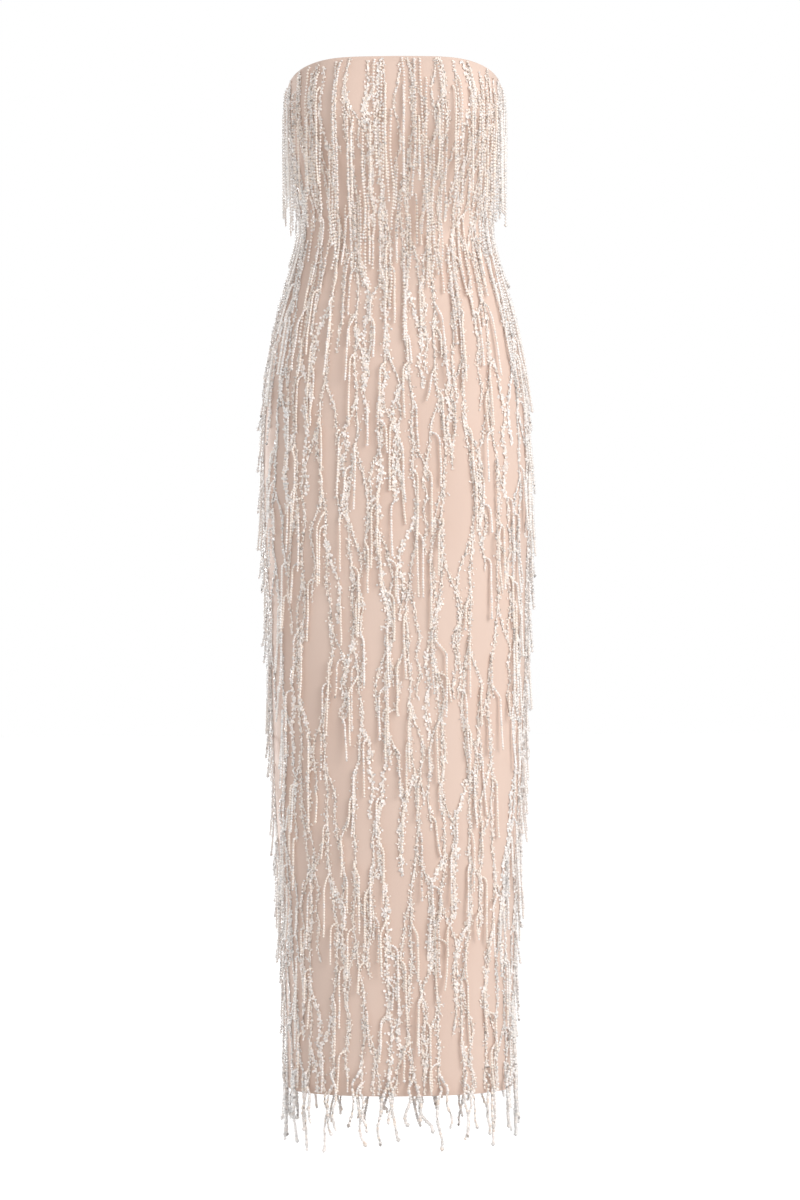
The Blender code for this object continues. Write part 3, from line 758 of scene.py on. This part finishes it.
def line_strips():
    """(its middle's turn, half the turn it spans) for each line's strip of cloth, from centre back round."""
    edges = even_turns(0, QUARTER, LINES_IN_A_QUARTER)
    edges += even_turns(QUARTER, math.pi, LINES_IN_A_QUARTER)[1:]
    left = [((a + b) / 2, (b - a) / 2) for a, b in zip(edges, edges[1:])]
    return [(-middle, half) for middle, half in reversed(left)] + left


def wave_sum(waves, at, starts):
    """The heights of the waves at that place, added up."""
    return sum(wave.high * np.sin(2 * math.pi * at / wave.long + start) for wave, start in zip(waves, starts))


def run_along(points):
    """How far along their path each of the points is."""
    return np.concatenate(([0], np.cumsum(np.linalg.norm(np.diff(points, axis=0), axis=1))))


def smooth_step(t):
    """A soft rise from 0 to 1 as t does."""
    t = np.clip(t, 0, 1)
    return t * t * (3 - 2 * t)


class BeadLine:
    """One line of beadwork: its vine with twigs, and the strands that hang from it."""

    def __init__(self, number, middle, half_turn):
        self.node = f"bead_line_{number:02d}"
        self.middle = middle
        self.half_turn = half_turn
        self.side = 1 if number % 2 else -1
        # The first numbers drawn are those that the solids' own line has, so that both wander alike.
        self.chance = random.Random(SOLID_SEED + number)
        self.starts = [self.chance.uniform(0, 2 * math.pi) for _ in VINE_WAVES]
        self.rng = np.random.default_rng(BEAD_SEED + number)
        self.pile = Pile()
        self.top = float(top_edge(middle)) - 2 * MM
        from_side = abs(abs(math.degrees(middle)) - 90)
        self.near_side = math.exp(-((from_side / SIDE_DEGREES) ** 2))
        self.clear_waist = float(smooth_step((CLEAR_WAIST - from_side) / CLEAR_FADE))
        self.slender = AT_SIDE + TOWARD_FRONT * math.cos(middle) ** 2
        self.vines = []

    def wander(self, z):
        """Where the vine is across its strip: nearly straight on the bodice, wavy on the skirt."""
        width = BODICE_WANDER + SKIRT_WANDER * np.clip((BODICE_FOOT - z) / WANDER_RISE, 0, 1)
        return width * wave_sum(VINE_WAVES, z, self.starts)

    def turn_at(self, place, z):
        """The turn at that place. Beside the zip it keeps clear of the pull, and below it comes back."""
        turn = self.middle + place * self.half_turn
        below = smooth_step((ZIP_FOOT - ZIP_CLEAR - z) / ZIP_RETURN)
        most = math.pi - (1 - below) * ZIP_CLEAR / radius(math.pi, 0.0)
        return np.clip(turn, -most, most)

    def draw(self, low, high):
        return self.rng.uniform(low, high)

    def happens(self, share):
        """True for that share of the draws."""
        return self.draw(0, 1) < share

    # ---- vines
    def twig(self, z, side, reach, drop, length):
        """A path that arches out of the vine and runs down beside it: (places, heights)."""
        heights = np.arange(0, drop + length, PATH_STEP)
        start = self.wander(z)
        out = smooth_step(heights / drop) ** TWIG_BEND
        sway = TWIG_SWAY * np.sin(2 * math.pi * heights / self.draw(0.04, 0.10) + self.draw(*PHASES))
        return start + side * reach * out + sway * out, z - heights

    def add_vine(self, places, heights, width):
        self.vines.append((places, heights))
        self.fill_vine(places, heights, width)

    def vine_at(self, z):
        """The place of one of the vines that pass that height."""
        passing = [(places, heights) for places, heights in self.vines if heights[-1] < z <= heights[0]]
        places, heights = passing[int(self.draw(0, len(passing)))] if passing else self.vines[0]
        return float(np.interp(-z, -heights, places))

    def fill_vine(self, places, heights, width):
        """A rope of close-set beads along a path, thick and thin by turns, with looser pieces over it."""
        turns = self.turn_at(places, heights)
        steps = np.hypot(np.diff(turns) * radius(turns[1:], heights[1:]), np.diff(heights))
        along = np.concatenate(([0], np.cumsum(steps)))
        length = along[-1]
        phases = self.rng.uniform(0, 2 * math.pi, 3)

        def thickness(at):
            on_bodice = smooth_step((np.interp(at, along, heights) - BODICE_FOOT) / BODICE_FADE + 0.5)
            body = np.clip(USUAL + wave_sum(ROPE_WAVES, at, phases), THINNEST, THICKEST)
            root = smooth_step(at / ROOT_TAPER + ROOT_BLUNT)
            tip = smooth_step((length - at) / TIP_TAPER + TIP_BLUNT)
            return body * (root * tip) * (1 - (1 - BODICE_VINE) * on_bodice)

        at = np.linspace(0, length, max(int(length / ROPE_STEP), ROPE_FEWEST))
        rope = ROPE_SHARE * width * thickness(at)
        self.add_rope(np.interp(at, along, turns), np.interp(at, along, heights), rope)
        count = int(length * VINE_FILL)
        at = self.rng.uniform(0, length, count)
        turn, z = np.interp(at, along, turns), np.interp(at, along, heights)
        pieces = BOLD if self.happens(BOLD_SHARE) else PLAIN
        off = np.clip(self.rng.normal(0, pieces.spread, count), -SPREAD_LIMIT, SPREAD_LIMIT)
        turn = turn + off * width * (FIXED_SPREAD + ROPE_SPREAD * thickness(at)) / radius(turn, z)
        heap = np.clip(HEAP_TOP - HEAP_FALL * np.abs(off), 0, 1) * thickness(at)
        lift = (0.8 + 0.7 * self.rng.uniform(0, 1, count)) * MM + VINE_HEIGHT * heap
        self.add_vine_pieces(turn, z, lift, pieces)

    def add_rope(self, turns, heights, widths):
        """A low ridge along the path, whose material is a heap of close-set beads."""
        heights = np.clip(heights, HEM + ROPE_MARGINS.hem, top_edge(turns) - ROPE_MARGINS.top)
        across, high = np.array(ROPE_SECTION).T
        jitter = self.rng.uniform(-ROPE_JITTER, ROPE_JITTER, (len(turns), 1)) * widths[:, None]
        turn = turns[:, None] + (across * widths[:, None] + jitter) / radius(turns, heights)[:, None]
        z = np.broadcast_to(heights[:, None], turn.shape)
        rise = ROPE_FOOT + high * VINE_HEIGHT * widths[:, None] / (ROPE_SHARE * VINE_WIDTH)
        points = on_cloth(turn, z) + outward(turn, z) * rise[..., None]
        quads = grid_quads(np.arange(turn.size).reshape(turn.shape))
        faces = np.concatenate((quads[:, [1, 0, 3]], quads[:, [1, 3, 2]]))
        self.pile.add_faces(points.reshape(-1, 3), faces, ROPE, True)

    def add_vine_pieces(self, turn, z, lift, pieces):
        """Sequins and round beads stuck on at odd angles."""
        z = np.clip(z, HEM + PIECE_MARGINS.hem, top_edge(turn) - PIECE_MARGINS.top)
        out = outward(turn, z)
        places = on_cloth(turn, z) + out * lift[:, None]
        count = len(places)
        down = np.broadcast_to((0.0, 0.0, -1.0), out.shape)
        across = unit(np.cross(out, down))
        lean = self.rng.normal(0, PIECE_LEAN, (count, 2))
        facing = out + across * lean[:, :1] + np.cross(across, out) * lean[:, 1:]
        spin = self.rng.normal(0, 1, (count, 3))
        flat = self.rng.uniform(0, 1, count) < pieces.flat
        # The dark finish among these pieces is painted shade between the beads.
        slots = self.rng.choice([PEARL, SILVER, CLEAR, SHADE_SPECK, IVORY], count, p=pieces.shares)
        share = np.where(slots == SHADE_SPECK, SHADE_SPECK_SIZE, pieces.size)[:, None]
        kinds = ((SEQUIN_DISC, flat, SEQUIN, (0.7, 1.1)), (DOME, ~flat, SEED, (0.85, 1.2)))
        for template, some, full, vary in kinds:
            size = full * share * self.rng.uniform(*vary, (count, 1)) * np.ones((1, 3))
            axes = frames_from(facing[some], spin[some])
            self.pile.add(template, places[some], axes, size[some], slots[some])

    def make_vines(self):
        heights = np.arange(self.top, HEM + EDGE_MARGIN, -PATH_STEP)
        places = self.wander(heights) + wave_sum([RIPPLE], heights, self.starts)
        self.add_vine(places, heights, VINE_WIDTH * self.slender)
        z = self.top - self.draw(0.01, 0.05)
        side = self.side
        while z > HEM + TWIGS_END:
            length = min(self.draw(0.045, 0.130), z - HEM - TIPS_END)
            reach = self.draw(0.65, 1.15) if z < BODICE_FOOT else self.draw(0.4, 0.8)
            drop = self.draw(0.026, 0.045) + 0.03 * reach
            self.add_vine(*self.twig(z, side, reach, drop, length), VINE_WIDTH * TWIG_VINE * self.slender)
            z -= self.draw(0.060, 0.110)
            side = -side if self.happens(TWIG_SWITCH) else side
        for place in self.lanes(2 + round(self.draw(0, 1))):
            start = float(top_edge(self.turn_at(place, TOP))) - self.draw(1, 12) * MM
            heights = np.arange(start, self.draw(-0.02, 0.12), -PATH_STEP)
            phase = self.draw(0, 2 * math.pi)
            sway = self.draw(0.06, 0.22) * np.sin(2 * math.pi * heights / self.draw(0.07, 0.14) + phase)
            self.add_vine(place + sway, heights, VINE_WIDTH * TOP_VINE)

    # ---- strands
    def solid_strand(self, strand):
        """The strand that the solids have: (turns, distances, heights)."""
        share = strand.root + self.chance.uniform(-1, 1) * strand.root_vary
        length = strand.length + self.chance.uniform(-1, 1) * strand.length_vary
        stray = self.chance.uniform(-1, 1) * strand.stray
        splay = self.chance.uniform(0, 1) * strand.splay
        place = strand.place * self.side
        if (math.pi - abs(self.middle + place * self.half_turn)) * radius(math.pi, 0.0) < ZIP_CLEAR:
            place = -place
        z = height_of(self.middle, share)
        start = place if z > BODICE_FOOT else self.wander(z)
        sway = HEM_SWAY if strand.root < HEM_SHARE else SOLID_SWAY
        return self.hang(z, start, place, length, stray, splay, STRAND_LIFT, 0.0, sway)

    def hang(self, z, start, place, length, stray, splay, lift, rise, sway=STRAND_SWAY):
        """A strand from its root at start, aside in a round bend, then down over the cloth or free of it:
        (turns, distances, heights)."""
        fallen = np.arange(0, length, PATH_STEP)
        hump = rise * np.sin(math.pi * np.clip(fallen / HOOK_STEP, 0, 1))
        heights = z - ROOT_DROP - fallen + hump
        down = fallen / length
        step = HOOK_STEP if rise else SIDE_STEP
        aside = np.sin(QUARTER * np.clip(fallen / step, 0, 1)) if rise else smooth_step(fallen / step)
        swing = self.draw(0.3, 1.0) * sway
        wave = swing * np.sin(2 * math.pi * down * self.draw(0.7, 1.8) + self.draw(*PHASES)) * down
        places = start + (place + stray * down**2 - start) * aside + wave
        turns = self.turn_at(places, heights)
        rising = np.clip(fallen / LIFT_STEP, ROOT_LIFT, 1)
        distances = lifted_radius(turns, np.clip(heights, HEM, None), lift * rising)
        distances = np.maximum.accumulate(distances) + splay * down**2
        return turns, distances, heights

    def string_beads(self, turns, distances, heights, mix):
        """Threads the beads of a mix on a path."""
        points = placed(turns, distances, heights)
        along = run_along(points)
        at = np.arange(0, along[-1], mix.pitch * self.draw(0.94, 1.06))
        places = np.stack([np.interp(at, along, column) for column in points.T], axis=1)
        ahead = unit(np.gradient(places, axis=0))
        near = placed(np.interp(at, along, turns), 1.0, 0.0)
        count = len(at)
        places = places + self.rng.normal(0, 1, (count, 3)) * mix.loose
        main = self.rng.choice(len(FINISHES), count, p=mix.main)
        between = self.rng.choice(len(FINISHES), count, p=mix.between)
        slots = np.where(np.arange(count) % 2, between, main)
        wide = STRAND_BEAD * mix.wide
        size = self.rng.uniform(0.88, 1.12, (count, 1)) * np.array([[wide, wide, mix.long * mix.pitch]])
        size[slots == SHADE_SPECK, :2] *= SHADE_SPECK_SIZE
        size[-1] = END_BEAD * mix.wide * (LARGE_END if self.happens(LARGE_ENDS) else SMALL_END)
        self.pile.add(SEED_BEAD, places, frames_from(ahead, near), size, slots)

    def skirt_mix(self, sparkling):
        """A strand's mix, which is the sparkling one for that share of the strands."""
        if self.happens(sparkling):
            return SPARKLING_STRING
        return IVORY_STRING if self.happens(IVORY_SHARE) else PEARL_STRING

    def make_strands(self):
        for strand in STRANDS:
            mix = HEM_STRING if strand.root < HEM_SHARE else self.skirt_mix(SOLID_SPARKLE)
            self.string_beads(*self.solid_strand(strand), mix)
        self.make_bodice_strands()
        self.make_waist_strands()
        self.make_skirt_strands()
        self.make_hem_strands()

    def lanes(self, count):
        """Places spread over the strip, each a little off its even spacing."""
        return [-1 + 2 * (i + self.draw(0.15, 0.85)) / count for i in range(count)]

    def dangle(self, z, place, length, limits, sparkling, sway):
        """A strand that hangs over the cloth of the bodice or waist."""
        aside, stray, splay, lift = (self.draw(*pair) for pair in limits)
        mix = SPARKLING_STRING if self.happens(sparkling) else BODICE_STRING
        path = self.hang(z, place, place + aside, length, stray, splay * MM, lift * MM, 0.0, sway)
        self.string_beads(*path, mix)

    def make_bodice_strands(self):
        """Long strands from the top edge or further down, which at the sides end above the waist."""
        sparkling = BODICE_SPARKLE + SIDE_BODICE_SPARKLE * self.clear_waist
        for place in self.lanes(BODICE_LANES - round(FEWER_BODICE_LANES * self.clear_waist)):
            below = self.draw(1, 4) * MM if self.happens(HIGH_ROOTS) else self.draw(0.01, 0.15)
            z = float(top_edge(self.turn_at(place, TOP))) - below
            foot = self.draw(-0.10, 0.04) * (1 - self.clear_waist)
            foot += self.draw(0.005, 0.10) * self.clear_waist
            length = min(max(z - foot, SHORTEST), self.draw(0.11, 0.21))
            self.dangle(z, place, length, BODICE_LIMITS, sparkling, BODICE_SWAY)

    def make_waist_strands(self):
        """Shorter ones from the waist, whose tips end at many heights over the hips."""
        for place in self.lanes(round(WAIST_LANES - FEWER_WAIST_LANES * self.clear_waist)):
            z = self.draw(-0.05, 0.05)
            self.dangle(z, place, self.draw(0.05, 0.11), WAIST_LIMITS, WAIST_SPARKLE, STRAND_SWAY)

    def make_skirt_strands(self):
        """Short strands that hook out of the vines on either side, a few of them swinging well aside."""
        z = BODICE_FOOT
        while z > HEM + SHORTEST:
            start = self.vine_at(z) + self.draw(-SIDE_ROOTS, SIDE_ROOTS) * self.near_side
            side = 1 if self.happens(0.5) else -1
            aside = self.draw(0.5, 0.9) if self.happens(WIDE_SHARE) else self.draw(0.16, 0.42)
            length = min(self.draw(0.034, 0.092), z - HEM - EDGE_MARGIN)
            stray = self.draw(-0.16, 0.16) * (STRAY_MORE if self.happens(STRAY_SHARE) else 1)
            splay = self.draw(0, 3 + 3 * self.near_side) * MM
            lift = self.draw(2.6, 4.8) * MM
            mix = self.skirt_mix(SKIRT_SPARKLE + SIDE_SKIRT_SPARKLE * self.near_side)
            path = self.hang(z, start, start + side * aside, length, stray, splay, lift, HOOK_RISE)
            self.string_beads(*path, mix)
            z -= self.draw(0.026, 0.064) * (1 - SIDE_CLOSER * self.near_side) / self.slender

    def make_hem_strands(self):
        """A few more strands past the hem, whose tips swing aside and lean together or apart."""
        for _ in range(round(self.draw(0.0, 1.1) + 0.5 * self.near_side)):
            z = HEM + self.draw(0.006, 0.04)
            start = self.wander(z) + self.draw(-0.2, 0.2)
            start += self.draw(-SIDE_ROOTS, SIDE_ROOTS) * self.near_side
            side = 1 if self.happens(0.5) else -1
            hook = side * self.draw(0.1, 0.5)
            stray = -side * self.draw(0.2, 1.1)
            length = z - HEM + self.draw(0.035, 0.075)
            path = self.hang(z, start, start + hook, length, stray, *HEM_TIP, HEM_SWAY)
            self.string_beads(*path, HEM_STRING)

    def build(self, materials):
        self.make_vines()
        self.make_strands()
        obj = self.pile.build(self.node + "_beads", materials)
        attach(obj, "gown")
        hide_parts(self.node)


# ---- zip
def make_tape(side, word, material):
    """One tape of the zip, behind a back panel's edge. side is 1 on the wearer's left."""
    columns = ZIP_SLOT / 2 + np.linspace(0, TAPE_WIDTH, TAPE_COLUMNS)
    heights = np.linspace(ZIP_FOOT - TAPE_PAST_FOOT, float(top_edge(math.pi)) - EDGE_MARGIN, TAPE_ROWS)
    across, z = np.meshgrid(columns, heights)
    turn = side * (math.pi - across / radius(math.pi, z))
    out = outward(turn, z)
    outer = on_cloth(turn, z) - out * (WALL + FIT)
    inner = outer - out * TAPE_THICK
    points = np.concatenate((outer.reshape(-1, 3), inner.reshape(-1, 3)))
    index = np.arange(turn.size).reshape(turn.shape)
    face = grid_quads(index)
    rim = np.concatenate((index[0, :-1], index[:-1, -1], index[-1, :0:-1], index[:0:-1, 0]))
    onward = np.roll(rim, -1)
    shift = turn.size
    band = np.stack((rim, rim + shift, onward + shift, onward), axis=-1)
    if side > 0:
        face, band = face[:, ::-1], band[:, ::-1]
    faces = np.concatenate((face, face[:, ::-1] + shift, band))
    obj = mesh_object(f"zip_tape_{word}_cloth", points, faces, [material])
    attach(obj, "gown")
    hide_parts(f"zip_tape_{word}")


def make_teeth(material):
    """The zip's closed teeth, from alternate sides, in the slot between the tapes."""
    lowest = ZIP_FOOT - TAPE_PAST_FOOT + TEETH_ABOVE_END
    heights = np.arange(lowest, float(top_edge(math.pi)) - TEETH_BELOW_TOP, TOOTH_PITCH / 2)
    side = np.where(np.arange(len(heights)) % 2, 1.0, -1.0)
    turn = math.pi - side * TOOTH_SHIFT / radius(math.pi, heights)
    out = outward(turn, heights)
    places = on_cloth(turn, heights) - out * (WALL + FIT + TAPE_THICK / 2)
    across = np.stack((side, 0 * side, 0 * side), axis=1)
    pile = Pile()
    long, wide, high = TOOTH
    sizes = np.broadcast_to(np.array([wide, high, long]), (len(heights), 3))
    pile.add(BLOCK, places, frames_from(across, out), sizes, 0)
    obj = pile.build("zip_teeth", [material])
    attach(obj, "gown")


# ---- studio
def area_light(name, at, aim, size, power, colour=(1, 1, 1)):
    data = bpy.data.lights.new(name, "AREA")
    data.shape = "DISK"
    data.size = size
    data.energy = power
    data.color = colour
    light = bpy.data.objects.new(name, data)
    light.location = at
    direction = np.array(aim) - np.array(at)
    across = math.atan2(-direction[0], direction[1])
    tilt = math.atan2(math.hypot(*direction[:2]), -direction[2])
    light.rotation_euler = (tilt, 0, across)
    bpy.context.scene.collection.objects.link(light)


def make_studio():
    scene = bpy.context.scene
    scene.view_settings.view_transform = "Standard"
    world = bpy.data.worlds.new("studio")
    scene.world = world
    world.use_nodes = True
    tree = world.node_tree
    background = tree.nodes["Background"]
    seen = tree.nodes.new("ShaderNodeLightPath")
    strength = tree.nodes.new("ShaderNodeMapRange")
    strength.inputs["To Min"].default_value = WORLD_FILL
    strength.inputs["To Max"].default_value = 1.0
    tree.links.new(seen.outputs["Is Camera Ray"], strength.inputs["Value"])
    tree.links.new(strength.outputs["Result"], background.inputs["Strength"])
    background.inputs["Color"].default_value = (1, 1, 1, 1)
    warm_white = (1.0, 0.98, 0.96)
    area_light("key", at=(2.8, -2.8, 0.9), aim=(0, 0, -0.1), size=3.0, power=104, colour=warm_white)
    area_light("fill", at=(-2.7, -2.7, -0.8), aim=(0, 0, -0.8), size=2.4, power=12)
    area_light("back", at=(-2.4, 2.4, -0.7), aim=(0, 0, -0.8), size=1.8, power=58)

    half = FLOOR_SIZE / 2
    points = [(x, y, FLOOR) for x, y in ((-half, -half), (half, -half), (half, half), (-half, half))]
    shader = Shader("pale_floor")
    shader.colour(shader.noise(scale=2), [(0.3, (0.29, 0.29, 0.29)), (0.7, (0.31, 0.31, 0.31))])
    shader.set(Roughness=0.9, Emission_Color=(1, 1, 1, 1))
    seen = shader.node("ShaderNodeLightPath").outputs["Is Camera Ray"]
    glow = shader.maths("ADD", shader.maths("MULTIPLY", seen, FLOOR_GLOW - FLOOR_FILL), FLOOR_FILL)
    shader.join(glow, shader.surface.inputs["Emission Strength"])
    floor = mesh_object("floor", points, [(0, 1, 2, 3)], [shader.material])

    data = bpy.data.cameras.new("camera")
    data.lens = LENS
    data.sensor_width = FILM
    data.clip_end = FARTHEST
    camera = bpy.data.objects.new("camera", data)
    camera.location = CAMERA_AT
    camera.rotation_euler = (QUARTER, CAMERA_ROLL, 0)
    scene.collection.objects.link(camera)
    scene.camera = camera


def main():
    make_studio()
    cloth = satin()
    for panel in PANELS:
        make_panel(panel, cloth)
    tape = tape_cloth()
    make_tape(1, "left", tape)
    make_tape(-1, "right", tape)
    make_teeth(nylon())
    metal = enamel()
    for name in ("zip_slider", "zip_pull"):
        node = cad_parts[name]
        node.data.materials.clear()
        node.data.materials.append(metal)
    warm, cool = (
        [bead_material(finish, share) for finish in FINISHES] + [rope_material(share)]
        for share in (0.0, SIDE_COOL)
    )
    for i, (middle, half_turn) in enumerate(line_strips()):
        line = BeadLine(i + 1, middle, half_turn)
        line.build(cool if line.near_side > NEAR_SIDE else warm)
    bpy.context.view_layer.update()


main()
